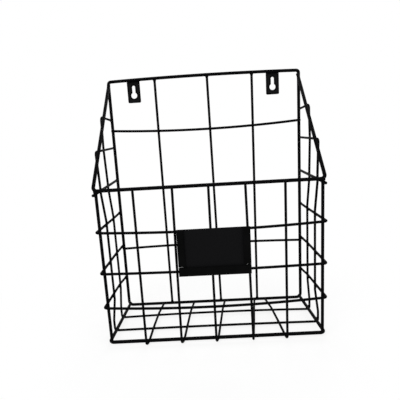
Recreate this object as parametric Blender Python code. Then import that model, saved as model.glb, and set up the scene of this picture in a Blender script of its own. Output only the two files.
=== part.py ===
"""A hanging file rack: a wall basket of welded black steel wire with two keyhole hanger
plates and a folded label holder on its front.

Metres, +Z up. The rack faces -Y, the wall is on +Y, and the origin lies under the middle
of the rack, on the surface that it would stand on."""

import math

import bmesh
import bpy
from mathutils import Vector

# Wire
FRAME_WIRE = 0.0048
POST_WIRE = 0.0042
GRID_WIRE = 0.0034
WELD_GAP = 0.0003

# Back frame, between wire centres: its top rail is bowed up a little at its middle
BACK_WIDTH = 0.2960
BACK_HEIGHT = 0.3719
BACK_TOP_BOW = 0.0021
BACK_TOP_BEND = 0.0040
BACK_BOTTOM_BEND = 0.0070

# Front rim and base, between wire centres: how far their front corners stand out past the
# back posts, how far the base's legs run in towards the rear, and how far the front posts
# stand in from the base's corners
DEPTH = 0.1180
RIM_HEIGHT = 0.2175
RIM_FLARE = 0.0014
BASE_FLARE = 0.0010
BASE_REAR_SET_IN = 0.0020
POST_INSET = 0.0020
CORNER_BEND = 0.0060
RIM_LEG_END_DROP = 0.0060
RIM_LEG_SET_IN = 0.0025

# Front hoops: height over the bottom rail, how far the front run hangs at its middle, how far
# its right end stands over its left end, and how far the rear ends are lowered
HOOP_HEIGHTS = {"lower": 0.0553, "middle": 0.1045, "upper": 0.1618}
HOOP_SAGS = {"lower": 0.0040, "middle": 0.0020, "upper": 0.0042}
HOOP_TILTS = {"lower": 0.0010, "middle": 0.0, "upper": 0.0}
HOOP_REAR_DROPS = {"lower": 0.0035, "middle": 0.0, "upper": 0.0}

# Side bars: how far they hang below the rim at the front, how far the rear end and the bend
# are raised over that, and where they bend out to lap the front posts
SIDE_BAR_DROP = 0.0065
SIDE_BAR_REAR_RISE = 0.0078
SIDE_BAR_SET_RISE = 0.0035
SIDE_BAR_SET_DEPTH = 0.0860
SIDE_BAR_SET_IN = 0.0004

# Side hoops: distance in front of the back frame, and how far the rear end is raised
SIDE_HOOP_DEPTHS = {"rear": 0.0420, "front": 0.0800}
SIDE_HOOP_RISES = {"rear": -0.0015, "front": 0.0040}
SIDE_HOOP_BEND = 0.0050
JOG_BEND = 0.0120
JOG_REACH = 0.0060

# Front ribs: their places at the rim and at the base, and where their bottom runs end
RIB_TOPS = (-0.0970, -0.0463, 0.0, 0.0470, 0.0975)
RIB_FEET = (-0.0970, -0.0480, 0.0, 0.0500, 0.0970)
RIB_REARS = (-0.0920, -0.0390, 0.0155, 0.0680, 0.0910)
RIB_TOP_RISE = 0.0010

# Back uprights and crossbars
UPRIGHT_FEET = {"left": -0.0730, "middle": 0.0115, "right": 0.0738}
UPRIGHT_TOPS = {"left": -0.0742, "middle": 0.0071, "right": 0.0760}
CROSSBAR_HEIGHTS = {"upper": 0.2972, "lower": 0.1030}
CROSSBAR_SAGS = {"upper": 0.0053, "lower": -0.0025}

# Hanger plates: their middles stand in from the back posts
PLATE_INSET = 0.0395
PLATE_WIDTH = 0.0200
PLATE_HEIGHT = 0.0350
PLATE_THICKNESS = 0.0015
PLATE_RISE = 0.0010
PLATE_CORNER = 0.0020
KEYHOLE_DIAMETER = 0.0094
KEYHOLE_CENTRE_RISE = 0.0112
KEYHOLE_SLOT_WIDTH = 0.0048
KEYHOLE_LENGTH = 0.0126

# Label holder
HOLDER_WIDTH = 0.0955
HOLDER_HEIGHT = 0.0632
HOLDER_BOTTOM = 0.0990
HOLDER_OFFSET = 0.0032
HOLDER_DEPTH = 0.0036
HOLDER_SHEET = 0.0008
HOLDER_SIDE_LIP = 0.0090
HOLDER_BOTTOM_LIP = 0.0118
HOLDER_RELIEF = 0.0016
HOLDER_SLOT_HEIGHT = 0.0012
HOLDER_SLOT_REACH = 0.0060
HOLDER_FOLD = 0.0009

# Facets
FRAME_SIDES = 4
GRID_SIDES = 2
BEND_STEP = math.radians(18)
SAG_STEPS = 8

# Distances between the centres of wires that are welded to each other
FRAME_TO_GRID = (FRAME_WIRE + GRID_WIRE) / 2 + WELD_GAP
POST_TO_GRID = (POST_WIRE + GRID_WIRE) / 2 + WELD_GAP
GRID_TO_GRID = GRID_WIRE + WELD_GAP

# Places that follow from the sizes above. The back frame lies in the plane y = 0, and
# z = 0 is the centre of its bottom rail. The base is raised so that the wires under it
# stand level with that rail.
BACK_X = BACK_WIDTH / 2
RIM_X = BACK_X + RIM_FLARE
BASE_X = BACK_X + BASE_FLARE
BASE_Z = FRAME_TO_GRID + GRID_WIRE / 2 - FRAME_WIRE / 2
FLOOR_Z = BASE_Z - FRAME_TO_GRID
RIB_Y = -DEPTH - FRAME_TO_GRID
HOOP_Y = RIB_Y + GRID_TO_GRID
POST_X = BASE_X - POST_INSET
POST_Y = HOOP_Y + POST_TO_GRID
OUTER_REAR_X = BACK_X + FRAME_TO_GRID
OUTER_FRONT_X = POST_X + POST_TO_GRID
REAR_END_Y = GRID_WIRE / 2
BUTT_END_Y = -(FRAME_WIRE / 2 + WELD_GAP)
RIB_END_Y = BUTT_END_Y - WELD_GAP
CROSSBAR_Y = -FRAME_TO_GRID
UPRIGHT_Y = CROSSBAR_Y + GRID_TO_GRID
HOLDER_BACK_Y = RIB_Y - GRID_WIRE / 2 - WELD_GAP
PLATE_FRONT_Y = FRAME_WIRE / 2 + WELD_GAP
RACK_FRONT_Y = HOLDER_BACK_Y - HOLDER_DEPTH
RACK_BACK_Y = PLATE_FRONT_Y + PLATE_THICKNESS
RACK_PLACE = (0, -(RACK_FRONT_Y + RACK_BACK_Y) / 2, FRAME_WIRE / 2)

BLACK_COAT = ("black_coat", (0.010, 0.010, 0.011, 1), 0.42)
PLATE_COAT = ("plate_coat", (0.020, 0.020, 0.022, 1), 0.50)
HOLDER_COAT = ("holder_coat", (0.008, 0.008, 0.011, 1), 0.55)


def clear_scene():
    for obj in list(bpy.data.objects):
        bpy.data.objects.remove(obj, do_unlink=True)


def coat(name, finish):
    """A painted steel surface of its own for one piece."""
    kind, colour, roughness = finish
    material = bpy.data.materials.new(f"{name}_{kind}")
    material.use_nodes = True
    shader = material.node_tree.nodes["Principled BSDF"]
    shader.inputs["Base Color"].default_value = colour
    shader.inputs["Roughness"].default_value = roughness
    shader.inputs["Metallic"].default_value = 0.0
    material.diffuse_color = colour
    return material


def add_object(name, data, finish, rack):
    obj = bpy.data.objects.new(name, data)
    obj.data.materials.append(coat(name, finish))
    obj.parent = rack
    bpy.context.scene.collection.objects.link(obj)
    return obj


def bend(before, corner, after, radius):
    """The points of a round bend that replaces a corner of a wire's path."""
    back = (before - corner).normalized()
    ahead = (after - corner).normalized()
    turn = math.pi - back.angle(ahead)
    if turn < 1e-4:
        return [corner]
    reach = radius * math.tan(turn / 2)
    start = corner + back * reach
    middle = corner + (back + ahead).normalized() * radius / math.cos(turn / 2)
    arm = start - middle
    sweep = arm.normalized()
    across = -back
    steps = max(2, math.ceil(turn / BEND_STEP))
    angles = [turn * step / steps for step in range(steps + 1)]
    return [middle + radius * (sweep * math.cos(a) + across * math.sin(a)) for a in angles]


def bent_path(corners, radii, closed=False):
    """A wire's path through its corners, with a bend of the given radius at each of them.
    A radius of None keeps the corner as it is."""
    places = [Vector(corner) for corner in corners]
    path = []
    for index, (place, radius) in enumerate(zip(places, radii)):
        inner = closed or 0 < index < len(places) - 1
        if radius is None or not inner:
            path.append(place)
            continue
        after = places[(index + 1) % len(places)]
        path.extend(bend(places[index - 1], place, after, radius))
    return path


def wire(name, path, diameter, sides, rack, closed=False):
    """A round wire along a path, with its ends cut square."""
    curve = bpy.data.curves.new(name, "CURVE")
    curve.dimensions = "3D"
    curve.bevel_depth = diameter / 2
    curve.bevel_resolution = sides
    curve.use_fill_caps = not closed
    spline = curve.splines.new("POLY")
    spline.points.add(len(path) - 1)
    for point, place in zip(spline.points, path):
        point.co = (*place, 1)
    spline.use_cyclic_u = closed
    spline.use_smooth = True
    return add_object(name, curve, BLACK_COAT, rack)


def frame_wire(name, corners, radii, rack, closed=False):
    return wire(name, bent_path(corners, radii, closed), FRAME_WIRE, FRAME_SIDES, rack, closed)


def post_wire(name, ends, rack):
    return wire(name, bent_path(ends, [None, None]), POST_WIRE, FRAME_SIDES, rack)


def grid_wire(name, corners, radii, rack):
    return wire(name, bent_path(corners, radii), GRID_WIRE, GRID_SIDES, rack)


def mix(start, end, share):
    return start + (end - start) * share


def outer_x(y):
    """How far out the wires that lie outside the four posts run, at a depth."""
    return mix(OUTER_REAR_X, OUTER_FRONT_X, y / POST_Y)


def base_rear_x():
    """A little inside the place where the back frame's lower bend reaches the base's height."""
    below = BACK_BOTTOM_BEND - BASE_Z
    bend_x = BACK_X - BACK_BOTTOM_BEND + math.sqrt(BACK_BOTTOM_BEND**2 - below**2)
    return bend_x - BASE_REAR_SET_IN


def base_leg_x(y):
    return mix(base_rear_x(), BASE_X, y / -DEPTH)


def top_rail_z(x):
    """The height of the top rail's centre: it is bowed up between the posts."""
    return BACK_HEIGHT + BACK_TOP_BOW * (1 - (x / BACK_X) ** 2)


def rim_leg_end():
    """The rim's legs end on the front of the back posts, a little to the inside, just under
    the top rail."""
    return (BACK_X - RIM_LEG_SET_IN, -0.85 * FRAME_WIRE, BACK_HEIGHT - RIM_LEG_END_DROP)


def rim_leg(y):
    """The place of the right leg's centre at a depth."""
    end_x, end_y, end_z = rim_leg_end()
    share = (end_y - y) / (end_y + DEPTH)
    return mix(end_x, RIM_X, share), mix(end_z, RIM_HEIGHT, share)


def side_bar(y):
    """The place of the right side bar's centre at a depth: straight from the back post past
    the side hoops, then set out to the outside of the front post."""
    set_x = BACK_X - SIDE_BAR_SET_IN
    front_z = RIM_HEIGHT - SIDE_BAR_DROP
    set_z = front_z + SIDE_BAR_SET_RISE
    if y > -SIDE_BAR_SET_DEPTH:
        share = y / -SIDE_BAR_SET_DEPTH
        return mix(BACK_X, set_x, share), mix(front_z + SIDE_BAR_REAR_RISE, set_z, share)
    share = (y + SIDE_BAR_SET_DEPTH) / (POST_Y + SIDE_BAR_SET_DEPTH)
    return mix(set_x, OUTER_FRONT_X, share), mix(set_z, front_z, share)


def sagging(half_length, y, z, sag, tilt=0.0):
    """Points of a run along X that hangs down by its sag at the middle and is tilted up
    towards its right end."""
    shares = [2 * step / SAG_STEPS - 1 for step in range(1, SAG_STEPS)]
    heights = [z - sag * (1 - share**2) + tilt / 2 * share for share in shares]
    return [(half_length * share, y, height) for share, height in zip(shares, heights)]


def back_frame(rack):
    """One closed loop of thick wire: two posts, the top rail and the bottom rail."""
    bow = sagging(-BACK_X, 0, BACK_HEIGHT, -BACK_TOP_BOW)
    corners = [
        (-BACK_X, 0, 0),
        (BACK_X, 0, 0),
        (BACK_X, 0, BACK_HEIGHT),
        *bow,
        (-BACK_X, 0, BACK_HEIGHT),
    ]
    radii = [BACK_BOTTOM_BEND, BACK_BOTTOM_BEND, BACK_TOP_BEND, *[None] * len(bow), BACK_TOP_BEND]
    frame_wire("back_frame", corners, radii, rack, closed=True)


def u_frame(name, end, corner, rack):
    """A thick wire bent into a U: a leg, a front rail and the other leg."""
    (end_x, end_y, end_z), (corner_x, corner_y, corner_z) = end, corner
    corners = [
        (-end_x, end_y, end_z),
        (-corner_x, corner_y, corner_z),
        (corner_x, corner_y, corner_z),
        (end_x, end_y, end_z),
    ]
    frame_wire(name, corners, [None, CORNER_BEND, CORNER_BEND, None], rack)


def front_rim(rack):
    u_frame("front_rim", rim_leg_end(), (RIM_X, -DEPTH, RIM_HEIGHT), rack)


def base_rim(rack):
    end = (base_leg_x(BUTT_END_Y), BUTT_END_Y, BASE_Z)
    u_frame("base_rim", end, (BASE_X, -DEPTH, BASE_Z), rack)


def front_posts(rack):
    """They stand on the bends of the base and end under the bends of the rim."""
    foot = BASE_Z + FRAME_WIRE / 2 + WELD_GAP
    top = RIM_HEIGHT - FRAME_WIRE / 2
    for side, x in (("left", -POST_X), ("right", POST_X)):
        post_wire(f"front_post_{side}", [(x, POST_Y, foot), (x, POST_Y, top)], rack)


def front_hoops(rack):
    """They run from one back post round both front posts to the other back post."""
    for level, height in HOOP_HEIGHTS.items():
        rear_z = height - HOOP_REAR_DROPS[level]
        left_z = height - HOOP_TILTS[level] / 2
        right_z = height + HOOP_TILTS[level] / 2
        front_run = sagging(OUTER_FRONT_X, HOOP_Y, height, HOOP_SAGS[level], HOOP_TILTS[level])
        corners = [
            (-OUTER_REAR_X, REAR_END_Y, rear_z),
            (-OUTER_FRONT_X, HOOP_Y, left_z),
            *front_run,
            (OUTER_FRONT_X, HOOP_Y, right_z),
            (OUTER_REAR_X, REAR_END_Y, rear_z),
        ]
        radii = [None, POST_TO_GRID, *[None] * len(front_run), POST_TO_GRID, None]
        grid_wire(f"front_hoop_{level}", corners, radii, rack)


def side_bars(rack):
    """One wire on each side, just under the rim, from the front of the back post to the
    outside of the front post, where it ends level with the post's centre."""
    depths = (BUTT_END_Y, -SIDE_BAR_SET_DEPTH, POST_Y)
    for side, sign in (("left", -1), ("right", 1)):
        corners = [(sign * side_bar(y)[0], y, side_bar(y)[1]) for y in depths]
        grid_wire(f"side_bar_{side}", corners, [None, JOG_BEND, None], rack)


def stub(place, y):
    """The place of a side hoop's stub at a depth: it runs from the front of the back post to
    the outside of the rim's leg."""
    hoop_y = -SIDE_HOOP_DEPTHS[place]
    leg_x, leg_z = rim_leg(hoop_y)
    share = y / hoop_y
    return mix(BACK_X, leg_x + FRAME_TO_GRID, share), leg_z + SIDE_HOOP_RISES[place] * (1 - share)


def side_hoop_half(place):
    """The right half of a side hoop, from the back post to the bend under the base: outside
    the rim's leg, the stub of a hoop in front of it and the side bar, inside the front hoops
    and outside the base again."""
    y = -SIDE_HOOP_DEPTHS[place]
    in_front = [other for other, depth in SIDE_HOOP_DEPTHS.items() if -depth < y]
    crossed = [stub(other, y) for other in in_front]
    bar_x, bar_z = side_bar(y)
    outside = bar_x + GRID_TO_GRID
    inside = outer_x(y) - GRID_TO_GRID
    below = base_leg_x(y) + FRAME_TO_GRID
    end_x, end_z = stub(place, BUTT_END_Y)
    bend_x, bend_z = stub(place, y)
    corners = [
        (end_x, BUTT_END_Y, end_z),
        (bend_x, y, bend_z),
        *[(x + GRID_TO_GRID, y, z) for x, z in crossed],
        (outside, y, bar_z + JOG_REACH),
        (outside, y, bar_z - JOG_REACH),
        (inside, y, HOOP_HEIGHTS["upper"] + JOG_REACH),
        (inside, y, HOOP_HEIGHTS["lower"] - JOG_REACH),
        (below, y, BASE_Z + 2 * JOG_REACH),
        (below, y, FLOOR_Z),
    ]
    radii = [None, SIDE_HOOP_BEND, *[JOG_BEND] * (len(corners) - 3), FRAME_TO_GRID]
    return corners, radii


def side_hoops(rack):
    for place in SIDE_HOOP_DEPTHS:
        right, radii = side_hoop_half(place)
        left = [(-x, y, z) for x, y, z in right]
        grid_wire(f"side_hoop_{place}", left + right[::-1], radii + radii[::-1], rack)


def front_ribs(rack):
    """Down the front, under the base's front rail, over the side hoops and up against the
    front of the back frame's bottom rail."""
    over_hoops = FLOOR_Z + GRID_TO_GRID
    heights = {DEPTH - FRAME_TO_GRID: FLOOR_Z}
    heights.update({depth: over_hoops for depth in sorted(SIDE_HOOP_DEPTHS.values(), reverse=True)})
    for index, (top_x, foot_x, rear_x) in enumerate(zip(RIB_TOPS, RIB_FEET, RIB_REARS)):
        run = [(mix(rear_x, foot_x, depth / DEPTH), -depth, z) for depth, z in heights.items()]
        corners = [
            (top_x, RIB_Y, RIM_HEIGHT + RIB_TOP_RISE),
            (foot_x, RIB_Y, FLOOR_Z),
            *run,
            (rear_x, RIB_END_Y, 0),
        ]
        radii = [None, FRAME_TO_GRID, *[None] * len(run), None]
        grid_wire(f"front_rib_{index + 1}", corners, radii, rack)


def back_uprights(rack):
    """They stand between the back frame's bottom and top rails."""
    foot = FRAME_WIRE / 2 + WELD_GAP
    for name, x in UPRIGHT_FEET.items():
        top_x = UPRIGHT_TOPS[name]
        ends = [(x, UPRIGHT_Y, foot), (top_x, UPRIGHT_Y, top_rail_z(top_x) - foot)]
        grid_wire(f"back_upright_{name}", ends, [None, None], rack)


def back_crossbars(rack):
    """They lie across the front of the uprights and of both back posts."""
    half_length = BACK_X + FRAME_WIRE / 4
    for name, z in CROSSBAR_HEIGHTS.items():
        ends = [(-half_length, CROSSBAR_Y, z), (half_length, CROSSBAR_Y, z)]
        run = sagging(half_length, CROSSBAR_Y, z, CROSSBAR_SAGS[name])
        corners = [ends[0], *run, ends[1]]
        grid_wire(f"back_crossbar_{name}", corners, [None] * len(corners), rack)


def arc(centre_x, centre_z, radius, start, end, steps):
    angles = [math.radians(mix(start, end, step / steps)) for step in range(steps + 1)]
    return [(centre_x + radius * math.cos(a), centre_z + radius * math.sin(a)) for a in angles]


def plate_outline():
    """Square at the top, round at the two lower corners; x and z from the bottom middle."""
    half, r = PLATE_WIDTH / 2, PLATE_CORNER
    lower_left = arc(-half + r, r, r, 180, 270, 4)
    lower_right = arc(half - r, r, r, 270, 360, 4)
    return [(-half, PLATE_HEIGHT), *lower_left, *lower_right, (half, PLATE_HEIGHT)]


def keyhole_outline():
    """A round hole for a screw's head with a narrower slot above it that has a round end."""
    hole, slot = KEYHOLE_DIAMETER / 2, KEYHOLE_SLOT_WIDTH / 2
    neck = math.degrees(math.asin(slot / hole))
    round_hole = arc(0, KEYHOLE_CENTRE_RISE, hole, 90 + neck, 450 - neck, 20)
    slot_end = arc(0, KEYHOLE_CENTRE_RISE + KEYHOLE_LENGTH, slot, 0, 180, 8)
    return round_hole + slot_end


def prism(name, outline, y_front, y_back):
    """A mesh of an outline in X and Z, extruded along Y, with its faces pointing out."""
    mesh = bpy.data.meshes.new(name)
    shape = bmesh.new()
    front = shape.faces.new([shape.verts.new((x, y_front, z)) for x, z in outline])
    grown = bmesh.ops.extrude_face_region(shape, geom=[front])["geom"]
    verts = [item for item in grown if isinstance(item, bmesh.types.BMVert)]
    bmesh.ops.translate(shape, verts=verts, vec=(0, y_back - y_front, 0))
    bmesh.ops.recalc_face_normals(shape, faces=shape.faces)
    shape.to_mesh(mesh)
    shape.free()
    return mesh


def cut(target, name, mesh, rack, place=(0, 0, 0)):
    """Takes a shape out of an object, with the shape kept as a hidden helper."""
    helper = bpy.data.objects.new(name, mesh)
    helper.parent = rack
    helper.location = place
    helper.hide_render = True
    helper.display_type = "WIRE"
    bpy.context.scene.collection.objects.link(helper)
    modifier = target.modifiers.new(name, "BOOLEAN")
    modifier.operation = "DIFFERENCE"
    modifier.object = helper


def hanger_plates(rack):
    """Flat plates welded behind the top rail, each with a keyhole."""
    plate_x = BACK_X - PLATE_INSET
    bottom = top_rail_z(plate_x) + PLATE_RISE - PLATE_HEIGHT
    for side, sign in (("left", -1), ("right", 1)):
        name = f"hanger_plate_{side}"
        sheet = prism(name, plate_outline(), PLATE_FRONT_Y, RACK_BACK_Y)
        plate = add_object(name, sheet, PLATE_COAT, rack)
        plate.location = (sign * plate_x, 0, bottom)
        reach = PLATE_THICKNESS
        hole = prism(f"keyhole_{side}", keyhole_outline(), PLATE_FRONT_Y - reach, RACK_BACK_Y + reach)
        cut(plate, f"keyhole_{side}", hole, rack, plate.location)


def block(name, low, high):
    """A box between two corners."""
    outline = [(low[0], low[2]), (high[0], low[2]), (high[0], high[2]), (low[0], high[2])]
    return prism(name, outline, low[1], high[1])


def label_holder(rack):
    """A sheet folded forwards at both sides and at the bottom into a flat pocket that is open
    at the top, with lips that frame its window. Where they meet, the lips have relief cuts,
    and the sheet behind is slotted to the edge so that it folds cleanly."""
    half, depth, sheet = HOLDER_WIDTH / 2, HOLDER_DEPTH, HOLDER_SHEET
    past = HOLDER_DEPTH
    folded = block("label_holder", (-half, -depth, 0), (half, 0, HOLDER_HEIGHT))
    holder = add_object("label_holder", folded, HOLDER_COAT, rack)
    holder.location = (HOLDER_OFFSET, HOLDER_BACK_Y, HOLDER_BOTTOM)
    folds = holder.modifiers.new("folds", "BEVEL")
    folds.width = HOLDER_FOLD
    folds.segments = 3
    folds.limit_method = "WEIGHT"
    mark_folds(holder.data)
    top = HOLDER_HEIGHT + past
    pocket = block("pocket", (sheet - half, sheet - depth, sheet), (half - sheet, -sheet, top))
    window_x = half - HOLDER_SIDE_LIP
    lip_y = -depth - past, 2 * sheet - depth
    lip_z = HOLDER_BOTTOM_LIP
    window = block("window", (-window_x, lip_y[0], lip_z), (window_x, lip_y[1], top))
    cut(holder, "pocket", pocket, rack, holder.location)
    cut(holder, "window", window, rack, holder.location)
    for side, sign in (("left", -1), ("right", 1)):
        ends = sorted((sign * (window_x - past), sign * (half + past)))
        low = (ends[0], lip_y[0], lip_z)
        high = (ends[1], lip_y[1], lip_z + HOLDER_RELIEF)
        relief = block(f"relief_{side}", low, high)
        cut(holder, f"relief_{side}", relief, rack, holder.location)
        slot_x = sorted((sign * (half - HOLDER_SLOT_REACH), sign * (half + 2 * past)))
        slot_z = lip_z + (HOLDER_RELIEF - HOLDER_SLOT_HEIGHT) / 2
        low = (slot_x[0], -depth - 2 * past, slot_z)
        high = (slot_x[1], past, slot_z + HOLDER_SLOT_HEIGHT)
        slot = block(f"slot_{side}", low, high)
        cut(holder, f"slot_{side}", slot, rack, holder.location)


def mark_folds(mesh):
    """Weights the block's edges that are folds: those at its sides and at its bottom."""
    weights = mesh.attributes.new("bevel_weight_edge", "FLOAT", "EDGE")
    for edge, weight in zip(mesh.edges, weights.data):
        ends = [mesh.vertices[index].co for index in edge.vertices]
        upright = abs(ends[0].z - ends[1].z) > HOLDER_SHEET
        at_bottom = max(end.z for end in ends) < HOLDER_SHEET
        along = abs(ends[0].x - ends[1].x) > HOLDER_SHEET
        weight.value = 1.0 if upright or (at_bottom and along) else 0.0


def main():
    clear_scene()
    rack = bpy.data.objects.new("hanging_file_rack", None)
    rack.location = RACK_PLACE
    bpy.context.scene.collection.objects.link(rack)
    back_frame(rack)
    front_rim(rack)
    base_rim(rack)
    front_posts(rack)
    front_hoops(rack)
    side_bars(rack)
    side_hoops(rack)
    front_ribs(rack)
    back_uprights(rack)
    back_crossbars(rack)
    hanger_plates(rack)
    label_holder(rack)


main()
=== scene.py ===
"""A hanging file rack: welded steel wire with a black powder coat, two stamped hanger plates
with keyholes and a folded label holder, on a pale studio floor.

Metres, +Z up. The rack faces -Y and would hang on a wall on +Y."""

import math

import bmesh
import bpy
from mathutils import Matrix, Vector
from mathutils.geometry import intersect_line_line


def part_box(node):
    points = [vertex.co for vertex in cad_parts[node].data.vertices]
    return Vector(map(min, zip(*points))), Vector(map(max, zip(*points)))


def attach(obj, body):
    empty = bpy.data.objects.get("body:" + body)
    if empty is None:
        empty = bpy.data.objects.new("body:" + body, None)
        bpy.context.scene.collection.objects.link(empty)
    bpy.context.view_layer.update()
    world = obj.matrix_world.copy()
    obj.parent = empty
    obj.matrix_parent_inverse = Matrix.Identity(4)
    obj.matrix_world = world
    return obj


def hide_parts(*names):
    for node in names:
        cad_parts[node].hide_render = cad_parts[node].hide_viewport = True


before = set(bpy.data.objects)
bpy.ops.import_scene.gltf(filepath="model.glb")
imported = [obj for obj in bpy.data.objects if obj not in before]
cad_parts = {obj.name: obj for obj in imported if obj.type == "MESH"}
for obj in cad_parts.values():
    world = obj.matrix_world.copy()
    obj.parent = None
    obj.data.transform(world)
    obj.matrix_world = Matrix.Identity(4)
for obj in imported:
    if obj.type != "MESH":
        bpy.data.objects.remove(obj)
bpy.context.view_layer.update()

# Wire, and the gap that the welds fill
FRAME_WIRE = 0.0048
POST_WIRE = 0.0042
GRID_WIRE = 0.0034
WELD_GAP = 0.0003

# The front hoops, and more so the bars and uprights, are drawn fuller than the solids' grid wire,
# to look as thick as in the photograph
HOOP_EXTRA = 0.0003
BAR_EXTRA = 0.0005
HOOP_WIRE = GRID_WIRE + HOOP_EXTRA
BAR_WIRE = GRID_WIRE + BAR_EXTRA

# Wires are drawn a hair thinner than that, to stay inside the solids' box
WIRE_EASE = 0.00002

# Back frame, whose left post leans in
BACK_X = 0.1480
BACK_HEIGHT = 0.3719
BACK_TOP_BOW = 0.0021
BACK_TOP_BEND = 0.0040
BACK_BOTTOM_BEND = 0.0070
BACK_LEFT_LEAN = 0.0014

# Rim, base and front posts. The base's front right corner is lifted by its tilt
DEPTH = 0.1180
RIM_HEIGHT = 0.2175
RIM_FLARE = 0.0014
BASE_FLARE = 0.0010
BASE_REAR_SET_IN = 0.0020
BASE_TILT = 0.0010
POST_INSET = 0.0020
CORNER_BEND = 0.0060
RIM_X = BACK_X + RIM_FLARE
BASE_X = BACK_X + BASE_FLARE
POST_X = BASE_X - POST_INSET

# Ends of the rim's legs, in front of the back posts and under the top rail
RIM_LEG_INSET = 0.0025
RIM_LEG_LAP = 0.85 * FRAME_WIRE
RIM_LEG_DROP = 0.0060
RIM_LEG_END = (BACK_X - RIM_LEG_INSET, -RIM_LEG_LAP, BACK_HEIGHT - RIM_LEG_DROP)

# Hoops round the front: the height of their corners, the sag and tilt of the front run and the
# drop of the sides towards the back
HOOP_HEIGHTS = {"lower": 0.0558, "middle": 0.1045, "upper": 0.1618}
HOOP_SAGS = {"lower": 0.0053, "middle": 0.0020, "upper": 0.0042}
HOOP_TILTS = {"lower": 0.0010, "middle": 0.0, "upper": 0.0}
HOOP_REAR_DROPS = {"lower": 0.0050, "middle": -0.0010, "upper": 0.0006}

# Their rear ends are drawn set into the sides of the back posts, where the solids lap them
HOOP_PRESS = 0.0020
HOOP_PRESS_DEPTH = 0.0280
HOOP_PRESS_RISES = {"lower": -0.0005, "middle": 0.0004, "upper": 0.0020}

# Side bars, which rise towards the back and are slightly bent on the way
SIDE_BAR_DROP = 0.0065
SIDE_BAR_SET_RISE = 0.0035
SIDE_BAR_SET_DEPTH = 0.0860
SIDE_BAR_SET_IN = 0.0004
SIDE_BAR_REAR_RISE = 0.0078
SIDE_BAR_FRONT_Z = RIM_HEIGHT - SIDE_BAR_DROP
SIDE_BAR_SET_Z = SIDE_BAR_FRONT_Z + SIDE_BAR_SET_RISE
SIDE_BAR_SET_X = BACK_X - SIDE_BAR_SET_IN
SIDE_BAR_REAR_Z = SIDE_BAR_FRONT_Z + SIDE_BAR_REAR_RISE

# Side hoops: the rise of their ends towards the back posts, the bow of the run under the basket
# and how far the rear one is drawn into the front one's end
SIDE_HOOP_DEPTHS = {"rear": 0.0420, "front": 0.0800}
SIDE_HOOP_RISES = {"rear": -0.0027, "front": 0.0036}
SIDE_HOOP_BOWS = {"rear": 0.0023, "front": 0.0009}
SIDE_HOOP_BEND = 0.0050
SIDE_HOOP_PRESS = 0.0016
JOG_BEND = 0.0120
JOG_REACH = 0.0060

# Ribs from left to right: where each starts at the rim, turns in under the base, sets off along
# the bottom and ends at the bottom rail
RIB_TOPS = (-0.0970, -0.0463, 0.0, 0.0470, 0.0975)
RIB_FEET = (-0.0970, -0.0480, 0.0, 0.0506, 0.0970)
RIB_RUNS = (-0.0948, -0.0450, 0.0029, 0.0520, 0.0957)
RIB_REARS = (-0.0877, -0.0352, 0.0177, 0.0686, 0.0872)
RIB_TOP_RISE = 0.0010
RIB_FOOT_PRESS = 0.0006

# Back uprights and crossbars
UPRIGHT_FEET = {"left": -0.0730, "middle": 0.0115, "right": 0.0738}
UPRIGHT_TOPS = {"left": -0.0742, "middle": 0.0071, "right": 0.0760}
CROSSBAR_HEIGHTS = {"upper": 0.2972, "lower": 0.1030}
CROSSBAR_SAGS = {"upper": 0.0053, "lower": -0.0025}
CROSSBAR_LAP = FRAME_WIRE / 4

# Hanger plates
PLATE_INSET = 0.0395
PLATE_SHEET = 0.0015
PLATE_X = BACK_X - PLATE_INSET

# Distances between the centres of welded wires
FRAME_TO_GRID = (FRAME_WIRE + GRID_WIRE) / 2 + WELD_GAP
POST_TO_GRID = (POST_WIRE + GRID_WIRE) / 2 + WELD_GAP
GRID_TO_GRID = GRID_WIRE + WELD_GAP

# Places that follow, with the back frame in the plane y = 0 and its bottom rail at z = 0
BASE_Z = FRAME_TO_GRID + GRID_WIRE / 2 - FRAME_WIRE / 2
FLOOR_Z = BASE_Z - FRAME_TO_GRID
RIB_Y = -DEPTH - FRAME_TO_GRID
HOOP_Y = RIB_Y + GRID_TO_GRID
POST_Y = HOOP_Y + POST_TO_GRID
OUTER_REAR_X = BACK_X + FRAME_TO_GRID
OUTER_FRONT_X = POST_X + POST_TO_GRID
BUTT_END_Y = -(FRAME_WIRE / 2 + WELD_GAP)
RIB_END_Y = BUTT_END_Y - WELD_GAP
CROSSBAR_Y = -FRAME_TO_GRID
UPRIGHT_Y = CROSSBAR_Y + GRID_TO_GRID

# From that frame to the part's own: the back faces of the plates fix the depth
PLATE_BACK_Y = FRAME_WIRE / 2 + WELD_GAP + PLATE_SHEET
RACK_PLACE = Vector((0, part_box("hanger_plate_left")[1].y - PLATE_BACK_Y, FRAME_WIRE / 2))

# Facets: wires are round to the eye, and bends are smooth
FRAME_SIDES = 24
GRID_SIDES = 18
BEND_STEP = math.radians(7.5)
BEND_STEPS_LEAST = 3
NO_TURN = 1e-4
SAG_STEPS = 24

# Sheared wire ends: a short rounded-off edge
END_CHAMFER = 0.00035
END_SHRINK = 0.80

# Camera
CAMERA_PLACE = (0.0001, -0.4865, 0.2750)
CAMERA_TURN = (80.222, 3.345, 0.967)
CAMERA_LENS = 30.453
CAMERA_SENSOR = 36.0
CAMERA_NEAR = 0.01


def mix(start, end, share):
    return start + (end - start) * share


# Wire paths


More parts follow.
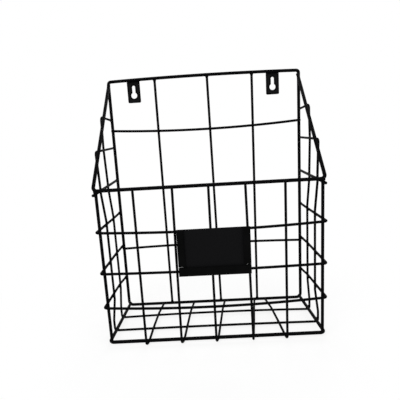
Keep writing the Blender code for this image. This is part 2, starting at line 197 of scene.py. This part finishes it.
def bend(before, corner, after, radius):
    """The points of a round bend that replaces a corner of a wire's path."""
    back = (before - corner).normalized()
    ahead = (after - corner).normalized()
    turn = math.pi - back.angle(ahead)
    if turn < NO_TURN:
        return [corner]
    start = corner + back * radius * math.tan(turn / 2)
    middle = corner + (back + ahead).normalized() * radius / math.cos(turn / 2)
    arm = (start - middle).normalized()
    steps = max(BEND_STEPS_LEAST, math.ceil(turn / BEND_STEP))
    angles = [turn * step / steps for step in range(steps + 1)]
    return [middle + radius * (arm * math.cos(a) - back * math.sin(a)) for a in angles]


def bent_path(corners, radii, closed=False):
    """A wire's path in the part's frame, with a bend at each corner that has a radius."""
    places = [Vector(corner) + RACK_PLACE for corner in corners]
    path = []
    for index, (place, radius) in enumerate(zip(places, radii)):
        inner = closed or 0 < index < len(places) - 1
        if radius is None or not inner:
            path.append(place)
            continue
        path.extend(bend(places[index - 1], place, places[(index + 1) % len(places)], radius))
    return path


def sagging(half_length, y, z, sag, tilt=0.0):
    """The inner corners of a run from one side to the other that sags, or bows up, and tilts."""
    shares = [2 * step / SAG_STEPS - 1 for step in range(1, SAG_STEPS)]
    heights = [z - sag * (1 - share**2) + tilt / 2 * share for share in shares]
    return [(half_length * share, y, height) for share, height in zip(shares, heights)]


def straight(start, end):
    return bent_path([start, end], [None, None])


def outer_x(y):
    """Half the width between the front hoops' sides, which lap the outside of the posts."""
    return mix(OUTER_REAR_X, OUTER_FRONT_X, y / POST_Y)


def base_leg_x(y):
    """The base's legs run to the lower bends of the back frame."""
    rise = BACK_BOTTOM_BEND - BASE_Z
    bend_x = BACK_X - BACK_BOTTOM_BEND + math.sqrt(BACK_BOTTOM_BEND**2 - rise**2)
    rear_x = bend_x - BASE_REAR_SET_IN
    return mix(rear_x, BASE_X, y / -DEPTH)


def left_post_x(z):
    return BACK_LEFT_LEAN * z / BACK_HEIGHT - BACK_X


def top_rail_z(x):
    return BACK_HEIGHT + BACK_TOP_BOW * (1 - (x / BACK_X) ** 2)


def rim_leg(y):
    end_x, end_y, end_z = RIM_LEG_END
    share = (end_y - y) / (end_y + DEPTH)
    return mix(end_x, RIM_X, share), mix(end_z, RIM_HEIGHT, share)


def side_bar(y):
    if y > -SIDE_BAR_SET_DEPTH:
        share = y / -SIDE_BAR_SET_DEPTH
        return mix(BACK_X, SIDE_BAR_SET_X, share), mix(SIDE_BAR_REAR_Z, SIDE_BAR_SET_Z, share)
    share = (y + SIDE_BAR_SET_DEPTH) / (POST_Y + SIDE_BAR_SET_DEPTH)
    return mix(SIDE_BAR_SET_X, OUTER_FRONT_X, share), mix(SIDE_BAR_SET_Z, SIDE_BAR_FRONT_Z, share)


def stub(place, y):
    """The end of a side hoop, from its bend round the rim's leg back to the post."""
    hoop_y = -SIDE_HOOP_DEPTHS[place]
    leg_x, leg_z = rim_leg(hoop_y)
    share = y / hoop_y
    return mix(BACK_X, leg_x + FRAME_TO_GRID, share), leg_z + SIDE_HOOP_RISES[place] * (1 - share)


def back_frame_path():
    bow = sagging(-BACK_X, 0, BACK_HEIGHT, -BACK_TOP_BOW)
    right = [(BACK_X, 0, 0), (BACK_X, 0, BACK_HEIGHT)]
    left = [(left_post_x(BACK_HEIGHT), 0, BACK_HEIGHT), (left_post_x(0), 0, 0)]
    radii = [BACK_BOTTOM_BEND, BACK_TOP_BEND, *[None] * len(bow), BACK_TOP_BEND, BACK_BOTTOM_BEND]
    return bent_path([*right, *bow, *left], radii, closed=True)


def u_path(end, corner, tilt=0.0):
    """A U of thick wire from its left end round to its right one."""
    end_x, end_y, end_z = end
    x, y, z = corner
    corners = [(-end_x, end_y, end_z), (-x, y, z), (x, y, z + tilt), end]
    return bent_path(corners, [None, CORNER_BEND, CORNER_BEND, None])


def front_hoop_path(level):
    """A hoop from one back post round the front to the other."""
    height = HOOP_HEIGHTS[level]
    rear_z = height - HOOP_REAR_DROPS[level]
    half_tilt = HOOP_TILTS[level] / 2
    run = sagging(OUTER_FRONT_X, HOOP_Y, height, HOOP_SAGS[level], HOOP_TILTS[level])
    legs = []
    for sign in (-1, 1):
        front = Vector((sign * OUTER_FRONT_X, HOOP_Y, height + sign * half_tilt))
        rear = Vector((sign * OUTER_REAR_X, 0, rear_z))
        set_in = mix(rear, front, HOOP_PRESS_DEPTH / -HOOP_Y)
        end = rear + Vector((-sign * HOOP_PRESS, 0, HOOP_PRESS_RISES[level]))
        legs.append([end, set_in, front])
    radii = [None, JOG_BEND, POST_TO_GRID]
    corners = [*legs[0], *run, *legs[1][::-1]]
    return bent_path(corners, [*radii, *[None] * len(run), *radii[::-1]])


def hoop_bow(place, x):
    """How far a side hoop's run under the basket is bowed up."""
    return SIDE_HOOP_BOWS[place] * (1 - (x / BASE_X) ** 2)


def side_hoop_path(place):
    """A hoop from a back post out round the rim's leg, down outside the side bar, behind the front
    hoops and round the base, then the same on the other side."""
    y = -SIDE_HOOP_DEPTHS[place]
    in_front = [other for other, depth in SIDE_HOOP_DEPTHS.items() if -depth < y]
    crossed = [stub(other, y) for other in in_front]
    bar_x, bar_z = side_bar(y)
    inside = outer_x(y) - GRID_TO_GRID
    below = base_leg_x(y) + FRAME_TO_GRID
    end_x, end_z = stub(place, BUTT_END_Y)
    bend_x, bend_z = stub(place, y)
    right = [
        (end_x, BUTT_END_Y, end_z),
        (bend_x, y, bend_z),
        *[(x + GRID_TO_GRID - SIDE_HOOP_PRESS, y, z) for x, z in crossed],
        (bar_x + GRID_TO_GRID, y, bar_z + JOG_REACH),
        (bar_x + GRID_TO_GRID, y, bar_z - JOG_REACH),
        (inside, y, HOOP_HEIGHTS["upper"] + JOG_REACH),
        (inside, y, HOOP_HEIGHTS["lower"] - JOG_REACH),
        (below, y, BASE_Z + 2 * JOG_REACH),
        (below, y, FLOOR_Z),
    ]
    left = [(-x, y, z) for x, y, z in right]
    run = sagging(below, y, FLOOR_Z, -SIDE_HOOP_BOWS[place])
    corners = [*left, *run, *right[::-1]]
    jogs = [JOG_BEND] * (len(right) - 3)
    radii = [None, SIDE_HOOP_BEND, *jogs, FRAME_TO_GRID]
    return bent_path(corners, [*radii, *[None] * len(run), *radii[::-1]])


def rib_path(top_x, foot_x, run_x, rear_x):
    """A rib from the rim down the front, under the base and back over the side hoops."""
    base_rise = BASE_TILT * (1 + foot_x / BASE_X) / 2
    foot_z = FLOOR_Z + RIB_FOOT_PRESS + base_rise
    run = [(run_x, FRAME_TO_GRID - DEPTH, foot_z)]
    for place in ("front", "rear"):
        depth = SIDE_HOOP_DEPTHS[place]
        x = mix(rear_x, run_x, depth / DEPTH)
        run.append((x, -depth, FLOOR_Z + GRID_TO_GRID + hoop_bow(place, x)))
    corners = [
        (top_x, RIB_Y, RIM_HEIGHT + RIB_TOP_RISE),
        (foot_x, RIB_Y, foot_z),
        *run,
        (rear_x, RIB_END_Y, 0),
    ]
    return bent_path(corners, [None, FRAME_TO_GRID, *[None] * len(run), None])


def crossbar_path(level):
    z = CROSSBAR_HEIGHTS[level]
    left_x = left_post_x(z) - CROSSBAR_LAP
    right_x = BACK_X + CROSSBAR_LAP
    run = sagging(right_x, CROSSBAR_Y, z, CROSSBAR_SAGS[level])
    corners = [(left_x, CROSSBAR_Y, z), *run, (right_x, CROSSBAR_Y, z)]
    return bent_path(corners, [None] * len(corners))


def is_closed(name):
    """Only the back frame is a closed loop of wire."""
    return name == "back_frame"


def wire_paths():
    """Every wire of the rack: CAD node, path and diameter."""
    base_end = (base_leg_x(BUTT_END_Y), BUTT_END_Y, BASE_Z)
    wires = [
        ("back_frame", back_frame_path(), FRAME_WIRE),
        ("front_rim", u_path(RIM_LEG_END, (RIM_X, -DEPTH, RIM_HEIGHT)), FRAME_WIRE),
        ("base_rim", u_path(base_end, (BASE_X, -DEPTH, BASE_Z), BASE_TILT), FRAME_WIRE),
    ]
    post_foot = BASE_Z + FRAME_WIRE / 2 + WELD_GAP
    post_top = RIM_HEIGHT - FRAME_WIRE / 2
    bar_depths = (BUTT_END_Y, -SIDE_BAR_SET_DEPTH, POST_Y)
    for side, sign in (("left", -1), ("right", 1)):
        post = straight((sign * POST_X, POST_Y, post_foot), (sign * POST_X, POST_Y, post_top))
        corners = [(sign * side_bar(y)[0], y, side_bar(y)[1]) for y in bar_depths]
        bar = bent_path(corners, [None, JOG_BEND, None])
        wires += [(f"front_post_{side}", post, POST_WIRE), (f"side_bar_{side}", bar, BAR_WIRE)]
    wires += [(f"front_hoop_{level}", front_hoop_path(level), HOOP_WIRE) for level in HOOP_HEIGHTS]
    wires += [(f"side_hoop_{place}", side_hoop_path(place), GRID_WIRE) for place in SIDE_HOOP_DEPTHS]
    ribs = zip(RIB_TOPS, RIB_FEET, RIB_RUNS, RIB_REARS)
    wires += [(f"front_rib_{i}", rib_path(*rib), GRID_WIRE) for i, rib in enumerate(ribs, 1)]
    foot = FRAME_WIRE / 2 + WELD_GAP
    for name, x in UPRIGHT_FEET.items():
        top_x = UPRIGHT_TOPS[name]
        upright = straight((x, UPRIGHT_Y, foot), (top_x, UPRIGHT_Y, top_rail_z(top_x) - foot))
        wires.append((f"back_upright_{name}", upright, BAR_WIRE))
    for level in CROSSBAR_HEIGHTS:
        wires.append((f"back_crossbar_{level}", crossbar_path(level), BAR_WIRE))
    return wires


# Wire shapes


def grow(bm, edges):
    """Extrudes an open ring of edges and returns the new ring's edges and vertices."""
    grown = bmesh.ops.extrude_edge_only(bm, edges=edges)["geom"]
    verts = [item for item in grown if isinstance(item, bmesh.types.BMVert)]
    fresh = set(verts)
    grown_edges = [item for item in grown if isinstance(item, bmesh.types.BMEdge)]
    return [edge for edge in grown_edges if fresh.issuperset(edge.verts)], verts


def headings(path, closed):
    """The wire's direction at each point of its path."""
    steps = [(b - a).normalized() for a, b in zip(path, path[1:])]
    if closed:
        steps.append((path[0] - path[-1]).normalized())
        return [(steps[i - 1] + steps[i]).normalized() for i in range(len(path))]
    inner = [(a + b).normalized() for a, b in zip(steps, steps[1:])]
    return [steps[0], *inner, steps[-1]]


def close_end(bm, edges, place, heading):
    """Rounds off the edge of a sheared wire end and fills its face."""
    ring, verts = grow(bm, edges)
    bmesh.ops.translate(bm, verts=verts, vec=heading * END_CHAMFER)
    centre = place + heading * END_CHAMFER
    shrink = Matrix.Diagonal((END_SHRINK, END_SHRINK, END_SHRINK))
    bmesh.ops.transform(bm, matrix=shrink.to_4x4(), space=Matrix.Translation(-centre), verts=verts)
    return bmesh.ops.contextual_create(bm, geom=ring)["faces"]


def draw_wire(path, diameter, closed):
    """A bmesh of a round wire: a ring that is drawn along the path."""
    bm = bmesh.new()
    sides = GRID_SIDES if diameter < POST_WIRE else FRAME_SIDES
    points = [point.copy() for point in path]
    if not closed:
        points[0] += (path[1] - path[0]).normalized() * END_CHAMFER
        points[-1] += (path[-2] - path[-1]).normalized() * END_CHAMFER
    ways = headings(points, closed)
    turn = Vector((0, 0, 1)).rotation_difference(ways[0]).to_matrix().to_4x4()
    start = Matrix.Translation(points[0]) @ turn
    bmesh.ops.create_circle(bm, segments=sides, radius=diameter / 2 - WIRE_EASE, matrix=start)
    first = list(bm.edges)
    edges = first
    for index in range(1, len(points)):
        edges, verts = grow(bm, edges)
        bmesh.ops.translate(bm, verts=verts, vec=points[index] - points[index - 1])
        lean = ways[index - 1].rotation_difference(ways[index]).to_matrix()
        bmesh.ops.rotate(bm, verts=verts, cent=points[index], matrix=lean)
    caps = []
    if closed:
        bmesh.ops.bridge_loops(bm, edges=edges + first)
    else:
        caps += close_end(bm, first, points[0], -ways[0])
        caps += close_end(bm, edges, points[-1], ways[-1])
    bmesh.ops.recalc_face_normals(bm, faces=bm.faces)
    for face in bm.faces:
        face.smooth = face not in caps
    return bm


def add_piece(name, bm, material, replaced=()):
    """Adds a finished piece of the rack, in place of the solids that it replaces."""
    mesh = bpy.data.meshes.new(name)
    bm.to_mesh(mesh)
    bm.free()
    mesh.materials.append(material)
    piece = bpy.data.objects.new(name, mesh)
    bpy.context.scene.collection.objects.link(piece)
    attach(piece, "root")
    if replaced:
        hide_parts(*replaced)
    return piece


# Welds

# Wires closer than the reach are welded, once within the spacing. One that ends deeper in another
# than the limit is a butt joint
WELD_REACH = 0.00055
WELD_SPACING = 0.0080
BUTT_LIMIT = -0.0004

# Weld fillets round a wire's end, in shares of its radius: place along the wire from its end,
# half width along the other wire and half width across it
FILLET_RINGS = (
    (0.55, 1.50, 0.96),
    (0.10, 1.46, 1.02),
    (-0.35, 1.24, 1.04),
    (-0.85, 1.08, 1.03),
    (-1.35, 0.97, 0.97),
)
FILLET_SIDES = 12

# The fillets over the front posts are larger
CORNER_SPREAD = 1.7

# Half sizes of the other welds
CROSSING_BEAD = 0.0009
LEG_BEAD = (0.0019, 0.0015, 0.0065)
PLATE_BEAD = (0.0042, 0.0010, 0.0011)
HOLDER_BEAD = (0.0015, 0.0007, 0.0030)
BEAD_DETAIL = 2

# Their places: those of a plate are beside its middle, behind and under the top rail's centre
PLATE_BEAD_SHIFT = 0.0052
PLATE_BEAD_BACK = 0.44 * FRAME_WIRE
PLATE_BEAD_DROP = 0.36 * FRAME_WIRE
HOLDER_RIBS = (2, 3)
HOLDER_BEAD_LEVELS = (0.2, 0.8)


def segments(path, closed):
    ends = path[1:] + path[:1] if closed else path[1:]
    return list(zip(path, ends))


def nearest_on(point, start, end):
    """The point of a segment that is nearest to another point."""
    way = end - start
    share = (point - start).dot(way) / way.length_squared
    return start + way * min(1, max(0, share))


def nearest(a, b, c, d):
    """The nearest points of the segments a to b and c to d."""
    pairs = []
    crossing = intersect_line_line(a, b, c, d)
    if crossing:
        first = nearest_on(crossing[0], a, b)
        second = nearest_on(first, c, d)
        pairs.append((nearest_on(second, a, b), second))
    pairs += [(point, nearest_on(point, c, d)) for point in (a, b)]
    pairs += [(nearest_on(point, a, b), point) for point in (c, d)]
    return min(pairs, key=lambda pair: (pair[0] - pair[1]).length)


def apart(path, other, limit):
    """Whether the boxes round two sets of points are further apart than a limit."""
    return any(
        min(p[axis] for p in path) - max(q[axis] for q in other) > limit
        or min(q[axis] for q in other) - max(p[axis] for p in path) > limit
        for axis in range(3)
    )


def touches(path, closed, other_path, reach):
    """Where two wires touch, the closest first: gap, nearest points and the ways of the wires."""
    found = []
    for a, b in segments(path, closed):
        for c, d in segments(other_path, False):
            if apart((a, b), (c, d), reach + WELD_REACH):
                continue
            p, q = nearest(a, b, c, d)
            gap = (p - q).length - reach
            if gap < WELD_REACH:
                found.append((gap, p, q, (b - a).normalized(), (d - c).normalized()))
    return sorted(found, key=lambda touch: touch[0])


def ends_near(path, closed, place, reach):
    """Whether a wire has an end within reach of a place."""
    return not closed and min((place - end).length for end in (path[0], path[-1])) < reach


def weld_places(wires):
    """Every joint: the wires' names, how they touch, whether it is a butt joint and their radii."""
    joints = []
    for index, (name, path, diameter) in enumerate(wires):
        closed = is_closed(name)
        for other, other_path, other_diameter in wires[index + 1 :]:
            reach = (diameter + other_diameter) / 2
            if apart(path, other_path, reach + WELD_REACH):
                continue
            kept = []
            for touch in touches(path, closed, other_path, reach):
                if all((touch[1] - one[1]).length > WELD_SPACING for one in kept):
                    kept.append(touch)
            for touch in kept:
                gap, p, q = touch[:3]
                ending = ends_near(path, closed, p, reach) or ends_near(other_path, False, q, reach)
                butt = ending and gap < BUTT_LIMIT
                joints.append(((name, other), touch, butt, diameter / 2, other_diameter / 2))
    return joints


def add_bead(bm, centre, axes, sizes):
    """A smooth lump of weld metal."""
    basis = Matrix([axis * size for axis, size in zip(axes, sizes)]).transposed().to_4x4()
    place = Matrix.Translation(centre) @ basis
    bmesh.ops.create_icosphere(bm, subdivisions=BEAD_DETAIL, radius=1, matrix=place)


def end_fillet(bm, place, way, other_way, radius, spread):
    """A flared fillet round a wire's end, longer along the wire that it stands on."""
    across = way.cross(other_way).normalized()
    along = across.cross(way).normalized()
    turn = Matrix((along, across, way)).transposed().to_4x4()
    loops = []
    for share, wide, narrow in FILLET_RINGS:
        ring = Matrix.Translation(place + way * radius * share * spread) @ turn
        size = Matrix.Diagonal((radius * mix(1, wide, spread), radius * mix(1, narrow, spread), 1, 1))
        capped = share in (FILLET_RINGS[0][0], FILLET_RINGS[-1][0])
        made = bmesh.ops.create_circle(
            bm, segments=FILLET_SIDES, radius=1, cap_ends=capped, matrix=ring @ size)
        loops.append(list({edge for vert in made["verts"] for edge in vert.link_edges}))
    for loop, after in zip(loops, loops[1:]):
        bmesh.ops.bridge_loops(bm, edges=loop + after)


def joint_bead(bm, names, touch, butt, first_r, second_r):
    """Fills a crossing of two wires, or the corner round a wire that ends on another."""
    gap, p, q, first_way, second_way = touch
    corner = names[0] == "front_rim" and names[1].startswith("front_post")
    if corner or butt:
        ending = first_r < second_r
        place, other = (p, q) if ending else (q, p)
        way, other_way = (first_way, second_way) if ending else (second_way, first_way)
        if way.dot(other - place) < 0:
            way = -way
        spread = CORNER_SPREAD if corner else 1.0
        end_fillet(bm, place, way, other_way, min(first_r, second_r), spread)
        return
    normal = (q - p).normalized()
    side = normal.cross(first_way).normalized()
    centre = p + normal * (first_r + gap / 2)
    add_bead(bm, centre, (side.cross(normal), side, normal), (second_r, first_r, CROSSING_BEAD))


def long_beads(bm):
    """Beads down between the rim's legs and the back posts, along both plates under the top rail,
    and between the label holder and the ribs behind it."""
    axes = (Vector((1, 0, 0)), Vector((0, 1, 0)), Vector((0, 0, 1)))
    places = []
    for sign in (-1, 1):
        leg_x, leg_y, leg_z = RIM_LEG_END
        places.append(((sign * mix(leg_x, BACK_X, 0.5), leg_y / 2, leg_z - LEG_BEAD[2]), LEG_BEAD))
        for shift in (-PLATE_BEAD_SHIFT, PLATE_BEAD_SHIFT):
            x = sign * PLATE_X + shift
            places.append(((x, PLATE_BEAD_BACK, top_rail_z(x) - PLATE_BEAD_DROP), PLATE_BEAD))
    low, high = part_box("label_holder")
    for index in HOLDER_RIBS:
        for level in HOLDER_BEAD_LEVELS:
            z = mix(low.z, high.z, level) - RACK_PLACE.z
            x = mix(RIB_FEET[index], RIB_TOPS[index], z / RIM_HEIGHT)
            places.append(((x, RIB_Y - GRID_WIRE / 2, z), HOLDER_BEAD))
    for place, sizes in places:
        add_bead(bm, Vector(place) + RACK_PLACE, axes, sizes)


# Finishes

# The coat's cover wanders slowly on an even surface, over this many millimetres and by this share.
# Its grit is drawn far coarser than grains of powder, which are too fine to show
COVER_MM = 22.0
COVER_SPREAD = 0.35
GRIT_MM = 0.35

# Where most of a noise's values lie, and where the share of painted light starts to show
NOISE_SPAN = (0.3, 0.7)
PAINTED_LIGHT_SPAN = (0.65, 1.0)

# How much smoother and rougher the peel makes the skin, and the strength and depth of the bumps
PEEL_SHEEN = (-0.06, 0.08)
PEEL_BUMP = (0.15, 0.00010)
GRIT_BUMP = (0.08, 0.00003)


def linear(hex_colour):
    """An sRGB hex value as linear light."""
    parts = [int(hex_colour[i : i + 2], 16) / 255 for i in (1, 3, 5)]
    return (*[c / 12.92 if c <= 0.04045 else ((c + 0.055) / 1.055) ** 2.4 for c in parts], 1)


def node(tree, kind, settings=(), inputs=(), links=()):
    """Adds a node with its settings, fixed inputs and links."""
    made = tree.nodes.new(kind)
    for key, value in dict(settings).items():
        setattr(made, key, value)
    for key, value in dict(inputs).items():
        made.inputs[key].default_value = value
    for key, source in dict(links).items():
        tree.links.new(source, made.inputs[key])
    return made


def powder_coat(name, colour, mottle_and_light_colour, roughness, gloss, peel_mm):
    """Polyester powder coat, baked on steel: a matt skin that flows into a fine orange peel.
    Its paler second colour is random mottle from the cover noise and, on flats and inside the pocket,
    painted light; edges and folds keep the darker colour as painted shade."""
    material = bpy.data.materials.new(name)
    material.use_nodes = True
    tree = material.node_tree
    shader = tree.nodes["Principled BSDF"]
    place = node(tree, "ShaderNodeTexCoord").outputs["Object"]
    peel = node(
        tree, "ShaderNodeTexNoise", links={"Vector": place},
        inputs={"Scale": 1000 / peel_mm, "Detail": 2.0, "Roughness": 0.45})
    grit = node(
        tree, "ShaderNodeTexNoise", links={"Vector": place},
        inputs={"Scale": 1000 / GRIT_MM, "Detail": 1.0})
    cover = node(
        tree, "ShaderNodeTexNoise", links={"Vector": place},
        inputs={"Scale": 1000 / COVER_MM, "Detail": 3.0})
    # The share of painted light: paler on flats and the pocket's back, as if lit, darker on edges and
    # folds
    lit_mask = node(tree, "ShaderNodeAttribute", {"attribute_name": "painted_light_share"})
    flat = node(
        tree, "ShaderNodeMapRange", {"interpolation_type": "SMOOTHSTEP"},
        inputs={"From Min": PAINTED_LIGHT_SPAN[0], "From Max": PAINTED_LIGHT_SPAN[1], "To Min": 0.0, "To Max": 1.0},
        links={"Value": lit_mask.outputs["Fac"]})
    noise_from = {"From Min": NOISE_SPAN[0], "From Max": NOISE_SPAN[1]}
    spread = node(
        tree, "ShaderNodeMapRange", links={"Value": cover.outputs["Fac"]},
        inputs={**noise_from, "To Min": 0.0, "To Max": COVER_SPREAD})
    share = node(
        tree, "ShaderNodeMath", {"operation": "ADD", "use_clamp": True},
        links={0: flat.outputs["Result"], 1: spread.outputs["Result"]})
    tint = node(
        tree, "ShaderNodeMix", {"data_type": "RGBA"}, links={"Factor": share.outputs["Value"]})
    tint.inputs["A"].default_value = linear(colour)
    tint.inputs["B"].default_value = linear(mottle_and_light_colour)
    smooth, rough = PEEL_SHEEN
    sheen = node(
        tree, "ShaderNodeMapRange", links={"Value": peel.outputs["Fac"]},
        inputs={**noise_from, "To Min": roughness + smooth, "To Max": roughness + rough})
    low = node(
        tree, "ShaderNodeBump", links={"Height": peel.outputs["Fac"]},
        inputs={"Strength": PEEL_BUMP[0], "Distance": PEEL_BUMP[1]})
    fine = node(
        tree, "ShaderNodeBump", links={"Height": grit.outputs["Fac"], "Normal": low.outputs["Normal"]},
        inputs={"Strength": GRIT_BUMP[0], "Distance": GRIT_BUMP[1]})
    tree.links.new(tint.outputs["Result"], shader.inputs["Base Color"])
    tree.links.new(sheen.outputs["Result"], shader.inputs["Roughness"])
    tree.links.new(fine.outputs["Normal"], shader.inputs["Normal"])
    shader.inputs["Specular IOR Level"].default_value = gloss
    return material


# Stamped and folded sheet

# Eased edges, the angle from which an edge is one, and the band along a plate's edge that is left
# darker, outside the painted light of its flats
PLATE_EASE = 0.00025
PLATE_EDGE = math.radians(30)
UNLIT_EDGE_BAND = 0.0021
HOLDER_EASE = 0.00012
HOLDER_EDGE = math.radians(40)
EASE_SEGMENTS = 2

# Points this close are one, faces within this angle are one, and a face that looks this much
# along an axis faces it
MERGE = 1e-6
FLAT_ANGLE = math.radians(1)
FACING = 0.999

# The back of the holder's pocket, between its lips and its own back face, which is painted a shade
# paler as painted light
POCKET_FROM = 0.0020
POCKET_TO = 0.0004


def eased_copy(node_name, width, edge_angle):
    """A copy of a sheet-metal node with its sharp edges eased, as a coat leaves them."""
    bm = bmesh.new()
    bm.from_mesh(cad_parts[node_name].data)
    bmesh.ops.remove_doubles(bm, verts=bm.verts, dist=MERGE)
    bmesh.ops.dissolve_limit(bm, angle_limit=FLAT_ANGLE, verts=bm.verts, edges=bm.edges)
    sharp = [edge for edge in bm.edges if edge.is_manifold and edge.calc_face_angle() > edge_angle]
    bmesh.ops.bevel(
        bm, geom=sharp, offset=width, affect="EDGES", segments=EASE_SEGMENTS, profile=0.5,
        material=-1, clamp_overlap=True)
    bmesh.ops.dissolve_degenerate(bm, dist=MERGE, edges=bm.edges)
    bmesh.ops.recalc_face_normals(bm, faces=bm.faces)
    return bm


def stamped_plate(node_name):
    """A hanger plate whose flats are painted a shade paler as painted light, inside a darker band
    along its edge.
    """
    bm = eased_copy(node_name, PLATE_EASE, PLATE_EDGE)
    lit_mask = bm.verts.layers.float.new("painted_light_share")
    for side in (-1, 1):
        flat = [face for face in bm.faces if face.normal.y * side > FACING]
        bmesh.ops.inset_region(
            bm, faces=flat, thickness=UNLIT_EDGE_BAND, use_even_offset=True, use_boundary=True)
        # Painted light on the flats inside the edge band
        for vert in {vert for face in flat for vert in face.verts}:
            vert[lit_mask] = 1.0
    return bm


def folded_holder():
    """The label holder, with its pocket's back painted a shade paler as painted light."""
    bm = eased_copy("label_holder", HOLDER_EASE, HOLDER_EDGE)
    lit_mask = bm.verts.layers.float.new("painted_light_share")
    low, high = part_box("label_holder")
    for vert in bm.verts:
        in_pocket = low.y + POCKET_FROM < vert.co.y < high.y - POCKET_TO
        # Painted light on the pocket's back; the lips stay darker
        vert[lit_mask] = 1.0 if in_pocket else 0.0
    return bm


def build_rack():
    wire_coat = powder_coat(
        "powder_coat_on_wire", "#020203", "#060607", roughness=0.68, gloss=0.03, peel_mm=1.1)
    # The plate and sheet coats' paler colours are painted light on their flats and pocket; the wire's
    # paler colour is only random mottle
    plate_coat = powder_coat(
        "powder_coat_on_plate", "#010101", "#121213", roughness=0.68, gloss=0.02, peel_mm=1.3)
    sheet_coat = powder_coat(
        "powder_coat_on_sheet", "#020202", "#0c0c0d", roughness=0.62, gloss=0.03, peel_mm=1.3)
    wires = wire_paths()
    for name, path, diameter in wires:
        bm = draw_wire(path, diameter, is_closed(name))
        add_piece(f"{name}_wire", bm, wire_coat, [name])
    beads = bmesh.new()
    for joint in weld_places(wires):
        joint_bead(beads, *joint)
    long_beads(beads)
    bmesh.ops.recalc_face_normals(beads, faces=beads.faces)
    for face in beads.faces:
        face.smooth = True
    add_piece("weld_beads", beads, wire_coat)
    for side in ("left", "right"):
        name = f"hanger_plate_{side}"
        add_piece(f"{name}_stamped", stamped_plate(name), plate_coat, [name])
    add_piece("label_holder_folded", folded_holder(), sheet_coat, ["label_holder"])


# Studio

# Half the floor's width, where its shadow starts to fade into white and where it is gone, and how
# much of the floor is plain white before that
FLOOR_REACH = 3.0
FLOOR_SHADOW = (0.16, 0.42)
FLOOR_GLOW = 0.82
FLOOR_PAINT = "#f3f3f3"
WHITE = "#ffffff"

# Light from all round, and square lamps: name, place and power
ROOM_LIGHT = 0.45
LAMPS = (
    ("key", (-0.9, -1.4, 1.5), 26),
    ("fill", (1.3, -1.1, 0.9), 12),
    ("rear", (0.2, 1.3, 1.3), 14),
)
LAMP_SIZE = 1.2
LAMP_AIM = (0, 0, 0.2)


def seen_directly(tree):
    """1 for rays from the camera, also by way of a gloss or glass, and 0 for light in the room."""
    rays = node(tree, "ShaderNodeLightPath").outputs
    mirrored_rays = node(
        tree, "ShaderNodeMath", {"operation": "MAXIMUM"},
        links={0: rays["Is Glossy Ray"], 1: rays["Is Transmission Ray"]})
    seen = node(
        tree, "ShaderNodeMath", {"operation": "MAXIMUM"},
        links={0: rays["Is Camera Ray"], 1: mirrored_rays.outputs["Value"]})
    return seen.outputs["Value"]


def build_floor():
    bm = bmesh.new()
    bmesh.ops.create_grid(bm, x_segments=1, y_segments=1, size=FLOOR_REACH)
    mesh = bpy.data.meshes.new("studio_floor")
    bm.to_mesh(mesh)
    bm.free()
    floor = bpy.data.objects.new("studio_floor", mesh)
    bpy.context.scene.collection.objects.link(floor)
    material = bpy.data.materials.new("white_floor")
    material.use_nodes = True
    tree = material.node_tree
    tree.nodes.clear()
    place = node(tree, "ShaderNodeTexCoord").outputs["Object"]
    reach = node(tree, "ShaderNodeVectorMath", {"operation": "LENGTH"}, links={0: place})
    near, far = FLOOR_SHADOW
    fade = node(
        tree, "ShaderNodeMapRange", {"interpolation_type": "SMOOTHSTEP"},
        inputs={"From Min": near, "From Max": far, "To Min": FLOOR_GLOW, "To Max": 1.0},
        links={"Value": reach.outputs["Value"]})
    share = node(
        tree, "ShaderNodeMath", {"operation": "MULTIPLY"},
        links={0: seen_directly(tree), 1: fade.outputs["Result"]})
    paint = node(tree, "ShaderNodeBsdfDiffuse", inputs={"Color": linear(FLOOR_PAINT)})
    glow = node(tree, "ShaderNodeEmission", inputs={"Color": linear(WHITE), "Strength": 1.0})
    both = node(
        tree, "ShaderNodeMixShader",
        links={0: share.outputs["Value"], 1: paint.outputs["BSDF"], 2: glow.outputs["Emission"]})
    node(tree, "ShaderNodeOutputMaterial", links={"Surface": both.outputs["Shader"]})
    mesh.materials.append(material)


def build_world():
    world = bpy.data.worlds.new("studio")
    bpy.context.scene.world = world
    world.use_nodes = True
    tree = world.node_tree
    tree.nodes.clear()
    colour = linear(WHITE)
    light = node(tree, "ShaderNodeBackground", inputs={"Color": colour, "Strength": ROOM_LIGHT})
    white = node(tree, "ShaderNodeBackground", inputs={"Color": colour, "Strength": 1.0})
    both = node(
        tree, "ShaderNodeMixShader",
        links={0: seen_directly(tree), 1: light.outputs["Background"], 2: white.outputs["Background"]})
    node(tree, "ShaderNodeOutputWorld", links={"Surface": both.outputs["Shader"]})


def add_lamp(name, place, power):
    lamp = bpy.data.lights.new(name, "AREA")
    lamp.shape = "SQUARE"
    lamp.size = LAMP_SIZE
    lamp.energy = power
    obj = bpy.data.objects.new(name, lamp)
    obj.location = place
    obj.rotation_euler = (Vector(LAMP_AIM) - Vector(place)).to_track_quat("-Z", "Y").to_euler()
    bpy.context.scene.collection.objects.link(obj)


def build_camera():
    camera = bpy.data.cameras.new("camera")
    camera.lens = CAMERA_LENS
    camera.sensor_width = CAMERA_SENSOR
    camera.clip_start = CAMERA_NEAR
    obj = bpy.data.objects.new("camera", camera)
    obj.location = CAMERA_PLACE
    obj.rotation_euler = [math.radians(angle) for angle in CAMERA_TURN]
    bpy.context.scene.collection.objects.link(obj)
    bpy.context.scene.camera = obj


build_rack()
build_floor()
build_world()
build_camera()
for lamp_name, lamp_place, lamp_power in LAMPS:
    add_lamp(lamp_name, lamp_place, lamp_power)
bpy.context.scene.view_settings.view_transform = "Standard"
